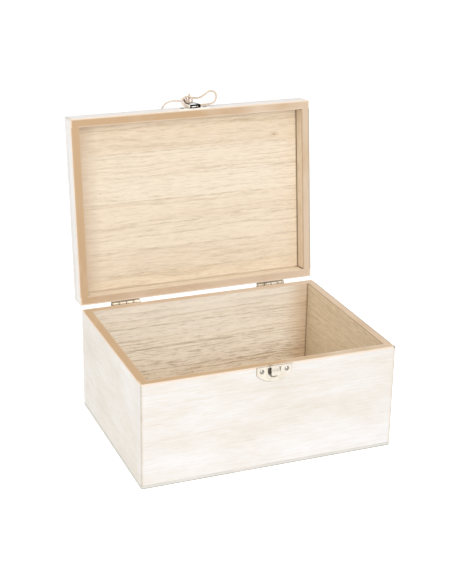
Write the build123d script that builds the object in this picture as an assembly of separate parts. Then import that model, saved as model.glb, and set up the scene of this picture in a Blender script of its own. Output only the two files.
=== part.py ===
from build123d import *
import math
import os

# Hinged wooden keepsake box, shown with its lid standing open.
# Millimetres, +Z up, origin at the middle of the base, the front of the box faces -Y.

# Box and lid
box_width = 250.0
box_depth = 185.0
box_height = 103.0
wall = 8.5
base_thickness = 3.0
lid_height = 21.2
lid_panel_thickness = 7.4
rim_gap = 0.3
corner_round = 1.2
rim_round = 0.5

# Hinges, screwed flat on the outside of the back boards
hinge_inset = 46.5
hinge_length = 30.0
hinge_leaf_height = 11.0
hinge_sheet = 0.9
hinge_corner = 1.5
hinge_pivot_out = 2.5
knuckle_radius = 2.2
knuckle_count = 4
knuckle_side_gap = 0.15
hinge_pin_radius = 1.0
hinge_pin_end = 0.4
hinge_bore_clearance = 0.05
hinge_swing_gap = 0.3
lid_open_angle = 96.3
stop_reach = 2.2
stop_root = 0.5
stop_gap = 0.04
hinge_screw_spacing = 19.0
hinge_screw_drop = 7.0

# Catch plate on the front of the box
catch_offset = 1.7
catch_width = 34.0
catch_side = 7.6
catch_height = 15.1
catch_top_gap = 0.4
catch_sheet = 0.8
plate_corner = 0.8
catch_window_radius = 6.5
catch_band = 1.5
plate_screw_spacing = 24.4
plate_screw_drop = 4.8
tongue_width = 8.8
tongue_neck_width = 7.4
tongue_neck_drop = 1.8
tongue_flare_drop = 2.6
tongue_root_height = 1.0
tongue_shoulder_out = 3.4
tongue_shoulder_drop = 1.7
tongue_bulge = 4.6
tongue_drop = 9.9
tongue_end_out = 2.6
tongue_nose_rise = 3.4
tongue_trim = 0.1

# Latch on the front of the lid
latch_width = 33.0
latch_side = 7.6
latch_height = 16.0
latch_rim_gap = 0.4
latch_sheet = 0.8
latch_pin_up = 2.0
latch_pin_out = 2.8
latch_pin_radius = 0.8
latch_bore_clearance = 0.05
latch_knuckle_radius = 1.7
latch_knuckle_width = 6.5
latch_side_gap = 0.2
hasp_sheet = 0.8
hasp_arm = 1.3
hasp_clearance = 0.35
hasp_bar = 1.8
hasp_notch_gap = 0.3

# Screws and base brads
plate_screw_head = 2.3
hinge_screw_head = 1.9
screw_head_height = 1.1
screw_shank_radius = 1.1
screw_length = 7.0
screw_point = 2.0
screw_tip_radius = 0.2
screw_slot = 0.6
screw_slot_depth = 0.5
screw_slot_margin = 0.8
screw_clearance = 0.05
brad_shank_radius = 0.6
brad_head_radius = 1.3
brad_head_height = 0.6
brad_length = 14.0
front_brad_count = 4
side_brad_count = 3

# Twine tied round the latch
twine_diameter = 1.9
knot_strand_radius = 1.15
knot_core_radius = 2.4
knot_core_length = 4.8
knot_core = (-0.2, 6.4, 20.3)
knot_route = [
    (4.4, 12.8, 21.0),
    (4.6, 6.8, 21.5),
    (1.0, 2.1, 20.9),
    (-1.8, 2.4, 18.7),
    (-4.4, 6.0, 18.6),
    (-3.6, 10.8, 19.5),
    (1.2, 10.4, 19.5),
    (1.9, 7.4, 19.6),
]

# Route points: across the latch, out from the lid's front, up from the lid's rim
loop_route = [
    (3.4, 8.6, 20.3),
    (8.3, 8.7, 20.0),
    (13.5, 7.9, 19.6),
    (19.5, 11.4, 19.0),
    (25.0, 15.0, 18.6),
    (30.4, 12.8, 17.9),
    (31.0, 7.3, 17.0),
    (27.5, 2.7, 15.4),
    (21.0, 2.1, 13.6),
    (13.0, 2.2, 12.4),
    (5.4, 2.1, 11.9),
    (-0.4, 2.2, 12.8),
    (-3.0, 2.5, 16.2),
    (-2.3, 3.3, 19.6),
]
tail_route = [
    (-3.6, 5.8, 19.8),
    (-8.2, 6.6, 20.0),
    (-13.2, 7.0, 20.7),
    (-18.2, 6.2, 22.2),
    (-22.3, 3.4, 24.2),
    (-24.6, -1.6, 25.8),
    (-25.3, -7.0, 26.4),
    (-26.1, -12.2, 26.8),
    (-26.4, -16.8, 27.4),
]

# How far a cut runs past what it cuts, and how close two places count as one
cut_margin = 1.0
near = 0.01

# Places that follow from the sizes above
front = -box_depth / 2
back = box_depth / 2
pivot_y = back + hinge_pivot_out
pivot_z = box_height + rim_gap / 2
lid_rim = box_height + rim_gap
lid_frame_height = lid_height - lid_panel_thickness
latch_pin_z = lid_rim + latch_pin_up
latch_pin_y = front - latch_pin_out
slot_end = latch_pin_up + rim_gap + tongue_drop + catch_sheet
hasp_reach = slot_end + hasp_bar
slot_width = tongue_width + 2 * hasp_clearance
hasp_width = slot_width + 2 * hasp_arm
pivot_axis = Axis((0, pivot_y, pivot_z), (1, 0, 0))

os.makedirs("parts", exist_ok=True)


def save(name, shape):
    """Writes one sub-part under its own name."""
    export_step(shape, f"parts/{name}.step")


def block(x0, x1, y0, y1, z0, z1):
    """A box between two corners."""
    return Pos((x0 + x1) / 2, (y0 + y1) / 2, (z0 + z1) / 2) * Box(x1 - x0, y1 - y0, z1 - z0)


def side_profile(outline, x0, x1):
    """A closed outline of edges in the YZ plane, carried from x0 to x1."""
    return extrude(Pos(x0, 0, 0) * make_face(outline), amount=x1 - x0, dir=(1, 0, 0))


def polygon_profile(points, x0, x1):
    """A polygon of (y, z) points, carried from x0 to x1."""
    corners = [(0, y, z) for y, z in points]
    return side_profile([Polyline(*corners, close=True)], x0, x1)


def rod(x0, x1, y, z, radius):
    """A round bar along X."""
    return Pos((x0 + x1) / 2, y, z) * Rot(0, 90, 0) * Cylinder(radius, x1 - x0)


def open_lid(shape):
    """Turns a piece of the closed lid back to where it stands in the photographed position."""
    return shape.rotate(pivot_axis, -lid_open_angle)


def rounded(shape, edges, radius):
    """Sands the given arrises round."""
    return fillet(edges, radius) if edges else shape


def edges_along(shape, axis, test):
    """Straight edges parallel to an axis whose middle passes a test."""
    return [e for e in shape.edges().filter_by(axis) if test(e @ 0.5)]


# Screws and brads
def screw(head_radius):
    """A round-headed wood screw, its head's underside on the XY plane and its point down."""
    dome = (head_radius**2 + screw_head_height**2) / (2 * screw_head_height)
    head = Pos(0, 0, screw_head_height - dome) * Sphere(dome)
    head = head & Pos(0, 0, screw_head_height / 2) * Cylinder(head_radius, screw_head_height)
    for turn in (0, 90):
        cut = Box(2 * (head_radius - screw_slot_margin), screw_slot, screw_slot_depth * 2)
        head -= Pos(0, 0, screw_head_height) * Rot(0, 0, turn) * cut
    plain = screw_length - screw_point
    shank = Pos(0, 0, -plain / 2) * Cylinder(screw_shank_radius, plain)
    cone = Cone(screw_shank_radius, screw_tip_radius, screw_point)
    point = Pos(0, 0, -plain - screw_point / 2) * Rot(180, 0, 0) * cone
    return head + shank + point


def screw_hole():
    """The hole a screw turns into, on the same axis."""
    radius = screw_shank_radius + screw_clearance
    depth = screw_length + screw_clearance
    return Cylinder(radius, depth + screw_head_height, align=(Align.CENTER, Align.CENTER, Align.MAX))


def brad():
    """A small nail driven up into the walls, its head's flat face at the bottom."""
    head = Cylinder(brad_head_radius, brad_head_height, align=(Align.CENTER, Align.CENTER, Align.MIN))
    shank = Cylinder(brad_shank_radius, brad_length, align=(Align.CENTER, Align.CENTER, Align.MIN))
    return head + shank


def brad_hole():
    """The hole of a brad, with its sunk head."""
    head = Cylinder(
        brad_head_radius + screw_clearance,
        brad_head_height + screw_clearance,
        align=(Align.CENTER, Align.CENTER, Align.MIN),
    )
    shank = Cylinder(
        brad_shank_radius + screw_clearance,
        brad_length + screw_clearance,
        align=(Align.CENTER, Align.CENTER, Align.MIN),
    )
    return head + shank


def facing_front(x, y, z):
    """A place on the front, with the local +Z axis pointing out of it."""
    return Pos(x, y, z) * Rot(90, 0, 0)


def facing_back(x, y, z):
    """A place on the back, with the local +Z axis pointing out of it."""
    return Pos(x, y, z) * Rot(-90, 0, 0)


hinge_offset = box_width / 2 - hinge_inset
hinge_centres = {"left": -hinge_offset, "right": hinge_offset}
hinge_face = back + hinge_sheet
box_hinge_places = []
lid_hinge_places = []
for centre in hinge_centres.values():
    for side in (-1, 1):
        x = centre + side * hinge_screw_spacing / 2
        box_hinge_places.append(facing_back(x, hinge_face, pivot_z - hinge_screw_drop))
        lid_hinge_places.append(facing_back(x, hinge_face, pivot_z + hinge_screw_drop))

catch_screw_places = []
latch_screw_places = []
for side in (-1, 1):
    x = catch_offset + side * plate_screw_spacing / 2
    catch_screw_places.append(facing_front(x, front - catch_sheet, box_height - plate_screw_drop))
    latch_screw_places.append(facing_front(x, front - latch_sheet, lid_rim + plate_screw_drop))


def spread(count, span):
    """Evenly spaced places, half a space in from either end of a span about zero."""
    return [span * ((i + 0.5) / count - 0.5) for i in range(count)]


brad_places = []
for x in spread(front_brad_count, box_width):
    for y in (front + wall / 2, back - wall / 2):
        brad_places.append(Pos(x, y, 0))
for y in spread(side_brad_count, box_depth - 2 * wall):
    for x in (wall / 2 - box_width / 2, box_width / 2 - wall / 2):
        brad_places.append(Pos(x, y, 0))


def drilled(shape, places, hole):
    """Takes the same hole out of a shape at each place."""
    for place in places:
        shape -= place * hole
    return shape


# Box: front and back boards run the full width, side boards butt between them
half_w = box_width / 2


def long_board(y0, y1, z0, z1, outer, rim_z):
    """A board across the full width with its outer corner arrises and rim arris sanded."""
    board = block(-half_w, half_w, y0, y1, z0, z1)
    uprights = edges_along(board, Axis.Z, lambda p: abs(p.Y - outer) < near)
    board = rounded(board, uprights, corner_round)
    rim = edges_along(board, Axis.X, lambda p: abs(p.Y - outer) < near and abs(p.Z - rim_z) < near)
    return rounded(board, rim, rim_round)


def side_board(side, z0, z1, rim_z):
    """A board between the front and back boards with its rim arris sanded."""
    outer = side * half_w
    inner = side * (half_w - wall)
    board = block(min(outer, inner), max(outer, inner), front + wall, back - wall, z0, z1)
    rim = edges_along(board, Axis.Y, lambda p: abs(p.X - outer) < near and abs(p.Z - rim_z) < near)
    return rounded(board, rim, rim_round)


box_front = long_board(front, front + wall, base_thickness, box_height, front, box_height)
box_front = drilled(box_front, catch_screw_places, screw_hole())
save("box_front_wall", drilled(box_front, brad_places, brad_hole()))

box_back = long_board(back - wall, back, base_thickness, box_height, back, box_height)
box_back = drilled(box_back, box_hinge_places, screw_hole())
save("box_back_wall", drilled(box_back, brad_places, brad_hole()))

for name, side in (("left", -1), ("right", 1)):
    board = side_board(side, base_thickness, box_height, box_height)
    save(f"box_{name}_wall", drilled(board, brad_places, brad_hole()))

base = block(-half_w, half_w, front, back, 0, base_thickness)
base = rounded(base, edges_along(base, Axis.Z, lambda p: True), corner_round)
save("box_base_board", drilled(base, brad_places, brad_hole()))
save("base_brads", Compound(children=[place * brad() for place in brad_places]))

# Lid: a butted frame with the top panel laid over it
lid_top = lid_rim + lid_height
frame_top = lid_rim + lid_frame_height
lid_front = long_board(front, front + wall, lid_rim, frame_top, front, lid_rim)
lid_front = drilled(lid_front, latch_screw_places, screw_hole())
save("lid_front_rail", open_lid(lid_front))

lid_back = long_board(back - wall, back, lid_rim, frame_top, back, lid_rim)
save("lid_back_rail", open_lid(drilled(lid_back, lid_hinge_places, screw_hole())))

for name, side in (("left", -1), ("right", 1)):
    save(f"lid_{name}_rail", open_lid(side_board(side, lid_rim, frame_top, lid_rim)))

panel = block(-half_w, half_w, front, back, frame_top, lid_top)
panel = rounded(panel, edges_along(panel, Axis.Z, lambda p: True), corner_round)
panel_top = panel.faces().sort_by(Axis.Z)[-1].edges()
save("lid_top_panel", open_lid(rounded(panel, panel_top, rim_round)))


# Hinges: each leaf is a plate with rolled knuckles and a bent stop lip behind them
def knuckle_spans(centre, leaf):
    """The stretches of the pin that one leaf's knuckles hold: 0 is the lid leaf and 1 the box leaf."""
    pitch = hinge_length / knuckle_count
    start = centre - hinge_length / 2
    spans = []
    for i in range(leaf, knuckle_count, 2):
        spans.append((start + i * pitch + knuckle_side_gap, start + (i + 1) * pitch - knuckle_side_gap))
    return spans


def box_leaf(centre, leaf):
    """The box side's leaf, below the pin. The lid side's is the same shape turned over."""
    x0 = centre - hinge_length / 2
    x1 = centre + hinge_length / 2
    top = pivot_z - knuckle_radius - hinge_swing_gap
    foot = pivot_z - hinge_leaf_height
    shape = block(x0, x1, back, back + hinge_sheet, foot, top)
    shape = rounded(shape, edges_along(shape, Axis.Y, lambda p: p.Z < foot + near), hinge_corner)
    for a, b in knuckle_spans(centre, leaf):
        shape += block(a, b, back, back + hinge_sheet, top, pivot_z - hinge_sheet / 2)
        shape += rod(a, b, pivot_y, pivot_z, knuckle_radius)
        shape += stop_lip(a, b, knuckle_radius - stop_root)
    shape += stop_lip(x0, x1, knuckle_radius + hinge_swing_gap)
    bore = rod(x0 - cut_margin, x1 + cut_margin, pivot_y, pivot_z, hinge_pin_radius + hinge_bore_clearance)
    return shape - bore


def stop_lip(x0, x1, start):
    """A flat lip standing off the pin, whose outer face meets its twin's when the lid is fully open."""
    angle = math.radians(lid_open_angle / 2)
    along = (math.cos(angle), -math.sin(angle))
    across = (-math.sin(angle), -math.cos(angle))
    end = knuckle_radius + stop_reach
    points = []
    for reach, depth in ((start, stop_gap), (end, stop_gap), (end, hinge_sheet), (start, hinge_sheet)):
        y = pivot_y + along[0] * reach + across[0] * depth
        z = pivot_z + along[1] * reach + across[1] * depth
        points.append((y, z))
    return polygon_profile(points, x0, x1)


def turned_over(shape):
    """A box leaf's shape mirrored over the pin's level, which makes it a lid leaf."""
    return mirror(shape, Plane((0, 0, pivot_z), z_dir=(0, 0, 1)))


for name, centre in hinge_centres.items():
    lower = drilled(box_leaf(centre, 1), box_hinge_places, screw_hole())
    save(f"hinge_{name}_box_leaf", lower)
    upper = drilled(turned_over(box_leaf(centre, 0)), lid_hinge_places, screw_hole())
    save(f"hinge_{name}_lid_leaf", open_lid(upper))

pins = []
for centre in hinge_centres.values():
    reach = hinge_length / 2 + hinge_pin_end
    pin = rod(centre - reach, centre + reach, pivot_y, pivot_z, hinge_pin_radius)
    pins.append(pin)
save("hinge_pins", Compound(children=pins))
save("hinge_box_screws", Compound(children=[p * screw(hinge_screw_head) for p in box_hinge_places]))
lid_screws = [open_lid(p * screw(hinge_screw_head)) for p in lid_hinge_places]
save("hinge_lid_screws", Compound(children=lid_screws))


# Half-moon plates, drawn flat with the straight edge up and then stood on the front
def half_moon(width, side, height, sheet):
    """A plate with a straight top edge at zero, short upright sides and a bowed lower edge."""
    half = width / 2
    outline = [
        Line((-half, 0), (half, 0)),
        Line((half, 0), (half, -side)),
        ThreePointArc((half, -side), (0, -height), (-half, -side)),
        Line((-half, -side), (-half, 0)),
    ]
    plate = extrude(make_face(outline), amount=sheet)
    corners = edges_along(plate, Axis.Z, lambda p: True)
    return fillet(corners, plate_corner)


def catch_window():
    """The window stamped out round the tongue: straight at the top and a half circle below."""
    radius = catch_window_radius
    drop = catch_band + radius / 2
    straight = Pos(0, -(catch_band + drop) / 2) * Rectangle(2 * radius, drop - catch_band)
    above = Pos(0, radius - catch_band) * Rectangle(4 * radius, 2 * radius)
    return straight + Pos(0, -drop) * Circle(radius) - above


def tongue():
    """The stamped tongue: a shoulder out of the top band, then a nose that bulges and turns back."""
    top = box_height - catch_top_gap
    end_z = box_height - tongue_drop
    root = Vector(0, front - catch_sheet, top)
    shoulder = Vector(0, front - tongue_shoulder_out, top - tongue_shoulder_drop)
    bulge = Vector(0, front - tongue_bulge, (top + end_z) / 2)
    end = Vector(0, front - tongue_end_out, end_z)
    nose = ThreePointArc(shoulder, bulge, end)
    centre = nose.arc_center
    inward = 1 - catch_sheet / nose.radius
    inner_shoulder, inner_bulge, inner_end = [centre + (p - centre) * inward for p in (shoulder, bulge, end)]
    root_foot = Vector(0, front, top - tongue_root_height)
    root_back = Vector(0, front, top)
    outline = [
        Line(root, shoulder),
        nose,
        Line(end, inner_end),
        ThreePointArc(inner_end, inner_bulge, inner_shoulder),
        Line(inner_shoulder, root_foot),
        Line(root_foot, root_back),
        Line(root_back, root),
    ]
    strip = side_profile(outline, catch_offset - tongue_width / 2, catch_offset + tongue_width / 2)
    neck = tongue_neck_width / 2
    half = tongue_width / 2
    nose_start = end_z - top + tongue_nose_rise
    nose_end = end_z - top - tongue_trim
    seen = [
        Line((-neck, cut_margin), (neck, cut_margin)),
        Line((neck, cut_margin), (neck, -tongue_neck_drop)),
        Line((neck, -tongue_neck_drop), (half, -tongue_flare_drop)),
        Line((half, -tongue_flare_drop), (half, nose_start)),
        ThreePointArc((half, nose_start), (0, nose_end), (-half, nose_start)),
        Line((-half, nose_start), (-half, -tongue_flare_drop)),
        Line((-half, -tongue_flare_drop), (-neck, -tongue_neck_drop)),
        Line((-neck, -tongue_neck_drop), (-neck, cut_margin)),
    ]
    cutter = extrude(make_face(seen), amount=tongue_bulge + 2 * cut_margin)
    return strip & facing_front(catch_offset, front + cut_margin, top) * cutter


catch = half_moon(catch_width, catch_side, catch_height, catch_sheet)
catch -= extrude(catch_window(), amount=catch_sheet)
catch = facing_front(catch_offset, front, box_height - catch_top_gap) * catch
catch = catch + tongue()
save("catch_plate", drilled(catch, catch_screw_places, screw_hole()))
save("catch_screws", Compound(children=[p * screw(plate_screw_head) for p in catch_screw_places]))

# Latch: a matching plate on the lid, a pin in its rolled middle knuckle and the swinging hasp
half_knuckle = latch_knuckle_width / 2
latch = Rot(0, 0, 180) * half_moon(latch_width, latch_side, latch_height, latch_sheet)
latch = facing_front(catch_offset, front, lid_rim + latch_rim_gap) * latch
riser_z = latch_pin_z + latch_knuckle_radius
latch += block(
    catch_offset - half_knuckle,
    catch_offset + half_knuckle,
    latch_pin_y,
    front,
    riser_z - latch_sheet,
    riser_z,
)
latch += rod(
    catch_offset - half_knuckle, catch_offset + half_knuckle, latch_pin_y, latch_pin_z, latch_knuckle_radius
)
latch_bore = rod(-half_w, half_w, latch_pin_y, latch_pin_z, latch_pin_radius + latch_bore_clearance)
latch -= latch_bore
save("latch_plate", open_lid(drilled(latch, latch_screw_places, screw_hole())))
save("latch_screws", Compound(children=[open_lid(p * screw(plate_screw_head)) for p in latch_screw_places]))

half_hasp = hasp_width / 2
latch_pin = rod(catch_offset - half_hasp, catch_offset + half_hasp, latch_pin_y, latch_pin_z, latch_pin_radius)
save("latch_pin", open_lid(latch_pin))


def hasp():
    """A stirrup of sheet: two arms rolled round the pin and a bowed bar, folded back up the lid."""
    sheet_out = latch_knuckle_radius - hasp_sheet
    start = latch_knuckle_radius + hasp_notch_gap
    arms_end = slot_end - hasp_arm
    outline = [
        Line((-half_hasp, 0), (half_hasp, 0)),
        Line((half_hasp, 0), (half_hasp, arms_end)),
        ThreePointArc((half_hasp, arms_end), (0, hasp_reach), (-half_hasp, arms_end)),
        Line((-half_hasp, arms_end), (-half_hasp, 0)),
    ]
    blank = extrude(make_face(outline), amount=hasp_sheet)
    slot_length = slot_end - start
    slot = Pos(0, start + slot_length / 2) * Rectangle(slot_width, slot_length)
    notch = Pos(0, start / 2) * Rectangle(latch_knuckle_width + 2 * latch_side_gap, start + near)
    blank -= extrude(slot + notch, amount=hasp_sheet)
    shape = facing_front(catch_offset, latch_pin_y - sheet_out, latch_pin_z) * blank
    inner = half_knuckle + latch_side_gap
    for side in (-1, 1):
        ends = sorted((catch_offset + side * inner, catch_offset + side * half_hasp))
        shape += rod(ends[0], ends[1], latch_pin_y, latch_pin_z, latch_knuckle_radius)
    return shape - latch_bore


save("latch_hasp", open_lid(hasp()))


# Twine
def on_closed_lid(place):
    """A point given across the latch, out from the lid's front and up from its rim, with the lid shut."""
    across, out, up = place
    return Vector(across, front - out, lid_rim + up)


def on_lid_front(place):
    """The same point where it stands on the opened lid."""
    pivot = Vector(0, pivot_y, pivot_z)
    return (on_closed_lid(place) - pivot).rotate(Axis.X, -lid_open_angle) + pivot


def twine(route, radius, name):
    """A round cord along straight runs joined by the largest arcs that the runs allow."""
    points = [on_lid_front(p) for p in route]
    radii = []
    for a, b, c in zip(points, points[1:], points[2:]):
        turn = math.radians((b - a).get_angle(c - b))
        shorter = min((b - a).length, (c - b).length)
        radii.append(0.45 * shorter / math.tan(turn / 2))
    path = FilletPolyline(*points, radius=radii)
    section = Plane(points[0], z_dir=points[1] - points[0]) * Circle(radius)
    tube = sweep(section, path=path)
    expected = math.pi * radius**2 * path.length
    tightest = ", ".join(f"{r:.1f}" for r in radii)
    print(f"{name}: length {path.length:.1f} mm, volume {tube.volume:.1f} of {expected:.1f}, radii {tightest}")
    return tube


core = Pos(*on_lid_front(knot_core)) * Rot(0, 90, 0) * Cylinder(knot_core_radius, knot_core_length)
save("twine_knot", core + twine(knot_route, knot_strand_radius, "knot strand"))
save("twine_loop", twine(loop_route, twine_diameter / 2, "twine_loop"))
save("twine_tail", twine(tail_route, twine_diameter / 2, "twine_tail"))
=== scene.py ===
import math
from types import SimpleNamespace

import bpy
import numpy as np
from mathutils import Matrix, Vector


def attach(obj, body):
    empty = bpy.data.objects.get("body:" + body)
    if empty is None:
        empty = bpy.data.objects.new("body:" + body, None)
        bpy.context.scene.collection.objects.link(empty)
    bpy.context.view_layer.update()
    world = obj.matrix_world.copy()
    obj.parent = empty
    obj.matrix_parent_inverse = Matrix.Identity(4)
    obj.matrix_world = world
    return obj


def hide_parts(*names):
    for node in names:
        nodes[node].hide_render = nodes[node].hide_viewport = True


# The hinged wooden keepsake box, dressed for its photograph. Metres, +Z up, the front faces -Y.

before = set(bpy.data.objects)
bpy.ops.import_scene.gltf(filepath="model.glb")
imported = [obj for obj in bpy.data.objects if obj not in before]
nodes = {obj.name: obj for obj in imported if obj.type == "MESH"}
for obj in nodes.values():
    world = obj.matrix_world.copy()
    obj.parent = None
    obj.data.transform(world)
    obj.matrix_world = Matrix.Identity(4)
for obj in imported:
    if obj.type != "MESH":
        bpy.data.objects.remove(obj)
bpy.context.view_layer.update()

# Sizes that the finishes follow, in millimetres, on the box with its lid shut
HALF_WIDTH = 125.0
FRONT = -92.5
BACK = 92.5
BOX_TOP = 103.0
BASE_TOP = 3.0
LID_RIM = 103.3
LID_PANEL_FACE = 117.1
LID_TOP = 124.5
WALL = 8.5
STRIP = 24.5
LID_OPEN = math.radians(96.3)
PIVOT = Vector((0.0, 95.0, 103.15))

# The catch plate, whose foot is an arc, and the latch above it
LATCH_X = 1.7
TONGUE_HOLLOW = (-2.0, FRONT, 98.6)
CATCH_HALF_WIDTH = 17.0
CATCH_ARC_Z = 110.52
CATCH_ARC_RADIUS = 23.02
KNUCKLE_BAND_OUT = 2.5
KNUCKLE_STRIPE_X = LATCH_X + 2.0
HASP_KNUCKLE_TOP = 108.4
HASP_SLOT_END = 118.3
HASP_SLOT_WALL = 4.78

# The hinges: where the left one starts, how far on the right one starts, and the length of a knuckle
HINGE_START = -93.5
HINGE_STEP = 157.0
HINGE_KNUCKLE = 7.5

# The twine, in metres: its radius, the knot's fuller strands, and one turn of its two plies
TWINE = 0.00098
KNOT_STRAND = 0.00122
KNOT_INNER = 0.00115
KNOT_HAIR_ROOT = 0.00118
PLY_TURN = 0.0065

# Kinds of node
MATH, VECTOR = "ShaderNodeMath", "ShaderNodeVectorMath"
RANGE, MIX, NOISE = "ShaderNodeMapRange", "ShaderNodeMix", "ShaderNodeTexNoise"
COMBINE, SPLIT, MAPPING = "ShaderNodeCombineXYZ", "ShaderNodeSeparateXYZ", "ShaderNodeMapping"
PRINCIPLED, BUMP = "ShaderNodeBsdfPrincipled", "ShaderNodeBump"
OUTPUT = "ShaderNodeOutputMaterial"


def linear(code):
    """Turns an sRGB hex colour into a linear one with alpha."""
    parts = [int(code[i:i + 2], 16) / 255 for i in (1, 3, 5)]
    return tuple(c / 12.92 if c <= 0.04045 else ((c + 0.055) / 1.055) ** 2.4 for c in parts) + (1.0,)


def add(tree, kind, links=(), **settings):
    """Adds a node. Settings are its properties. Links are its inputs, by name or in order: each is a node or
    a socket to join, a value, or None to leave as it is. A node gives its first output that is in use."""
    node = tree.nodes.new(kind)
    for key, value in settings.items():
        setattr(node, key, value)
    for key, value in links.items() if isinstance(links, dict) else enumerate(links):
        if isinstance(value, bpy.types.Node):
            value = next(socket for socket in value.outputs if socket.enabled)
        if isinstance(value, bpy.types.NodeSocket):
            tree.links.new(value, node.inputs[key])
        elif value is not None:
            node.inputs[key].default_value = value
    return node


def layered(tree, colour, layers):
    """Lays tints over a colour, each as thick as its mask says."""
    for mask, tint in layers:
        colour = add(tree, MIX, {"Factor": mask, "A": colour, "B": linear(tint)}, data_type="RGBA")
    return colour


def new_material(name):
    """An empty material with its node tree."""
    material = bpy.data.materials.new(name)
    material.use_nodes = True
    material.node_tree.nodes.clear()
    return material, material.node_tree


def dress(items, material):
    """Puts one material on each of some CAD nodes, by name, or pieces."""
    for item in items:
        mesh = nodes[item].data if isinstance(item, str) else item.data
        mesh.materials.clear()
        mesh.materials.append(material)


def to_scene(name, data):
    """A new object that shows some data, in the scene."""
    thing = bpy.data.objects.new(name, data)
    bpy.context.scene.collection.objects.link(thing)
    return thing


# Camera: where the photograph was taken from
CAMERA_PLACE = (-0.45606, -1.11181, 0.61281)
AZIMUTH, ELEVATION, ROLL = math.radians(-21.90), math.radians(21.50), math.radians(0.88)
FOCAL_PIXELS = 1360.2
PHOTO_HEIGHT = 584.0
SENSOR = 36.0

camera_data = bpy.data.cameras.new("camera")
camera = to_scene("camera", camera_data)
bpy.context.scene.camera = camera
back_way = Vector((
    math.sin(AZIMUTH) * math.cos(ELEVATION),
    -math.cos(AZIMUTH) * math.cos(ELEVATION),
    math.sin(ELEVATION),
))
level = Vector((math.cos(AZIMUTH), math.sin(AZIMUTH), 0.0))
up_way = back_way.cross(level)
right_way = level * math.cos(ROLL) + up_way * math.sin(ROLL)
top_way = up_way * math.cos(ROLL) - level * math.sin(ROLL)
turn = Matrix((right_way, top_way, back_way)).transposed()
camera.matrix_world = Matrix.Translation(CAMERA_PLACE) @ turn.to_4x4()
camera_data.sensor_width = SENSOR
camera_data.lens = FOCAL_PIXELS * SENSOR / PHOTO_HEIGHT
camera_data.clip_start = 0.05
camera_data.clip_end = 30.0

# Twine: one length of two-ply jute, tied round the latch. Each point of a route is in millimetres: across the
# latch, out from the lid's front and up from its rim
loop_route = [
    (3.4, 8.6, 20.3), (8.3, 8.7, 20.0), (13.5, 7.9, 19.6), (19.5, 11.4, 19.0), (25.0, 15.0, 18.6),
    (30.4, 12.8, 17.9), (31.0, 7.3, 17.0), (27.5, 2.7, 15.4), (21.0, 2.1, 13.6), (13.0, 2.2, 11.8),
    (7.6, 2.1, 10.0), (3.6, 2.0, 10.6), (1.4, 2.0, 13.8), (1.5, 2.2, 17.4), (1.8, 3.9, 20.2),
    (1.0, 6.6, 21.6), (0.0, 9.4, 21.4),
]
tail_route = [
    (-3.2, 6.0, 21.0), (-8.2, 6.6, 21.0), (-13.2, 7.0, 21.2), (-18.2, 6.2, 22.2), (-22.3, 3.4, 24.2),
    (-24.6, -1.6, 25.8), (-25.3, -7.0, 26.4), (-26.1, -12.2, 26.8), (-26.4, -16.8, 27.4),
]
knot_route = [
    (-0.4, 9.9, 19.4), (-2.6, 9.5, 19.8), (-5.0, 7.3, 19.4), (-5.4, 4.5, 18.0), (-4.1, 2.4, 15.0),
    (-2.7, 2.2, 11.5), (-1.5, 2.2, 8.5),
]
wrap_route = [
    (-1.4, 9.0, 22.0), (1.8, 10.8, 21.2), (4.7, 9.4, 18.9), (5.8, 6.6, 18.0), (5.0, 4.2, 18.6),
    (3.5, 3.9, 20.4), (3.3, 6.0, 22.0), (3.7, 8.4, 22.4), (3.9, 10.6, 22.4), (4.5, 12.7, 22.2),
]
inner_route = [(-2.3, 7.7, 21.4), (-1.4, 5.8, 21.2), (-0.5, 4.0, 20.8), (0.2, 2.7, 20.2)]


def on_lid_front(across, out, up):
    """A point of a route, in metres, on the opened lid."""
    closed = Vector((across, FRONT - out, LID_RIM + up)) - PIVOT
    opened = Matrix.Rotation(-LID_OPEN, 3, "X") @ closed + PIVOT
    return opened * 0.001


def smooth_line(route):
    """Points along the smooth spline that has the route's points as its control points."""
    data = bpy.data.curves.new("route", "CURVE")
    data.dimensions = "3D"
    data.resolution_u = 24
    spline = data.splines.new("NURBS")
    spline.points.add(len(route) - 1)
    for point, place in zip(spline.points, route):
        point.co = (*on_lid_front(*place), 1.0)
    spline.order_u = 3
    spline.use_endpoint_u = True
    holder = bpy.data.objects.new("route", data)
    mesh = bpy.data.meshes.new_from_object(holder)
    line = np.empty(len(mesh.vertices) * 3)
    mesh.vertices.foreach_get("co", line)
    bpy.data.objects.remove(holder)
    bpy.data.meshes.remove(mesh)
    bpy.data.curves.remove(data)
    return line.reshape(-1, 3)


def along(line, step):
    """Resamples a line at even steps, with a frame that turns as little as it can at each point."""
    run = np.concatenate(([0.0], np.cumsum(np.linalg.norm(np.diff(line, axis=0), axis=1))))
    places = np.linspace(0.0, run[-1], max(2, int(run[-1] / step)))
    points = np.stack([np.interp(places, run, line[:, k]) for k in range(3)], axis=1)
    tangents = np.gradient(points, axis=0)
    tangents /= np.linalg.norm(tangents, axis=1, keepdims=True)
    side = np.cross(tangents[0], (0.3, 0.2, 0.9))
    sides = []
    for tangent in tangents:
        side = side - tangent * (side @ tangent)
        side = side / np.linalg.norm(side)
        sides.append(side)
    sides = np.array(sides)
    return places, points, sides, np.cross(tangents, sides)


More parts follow.
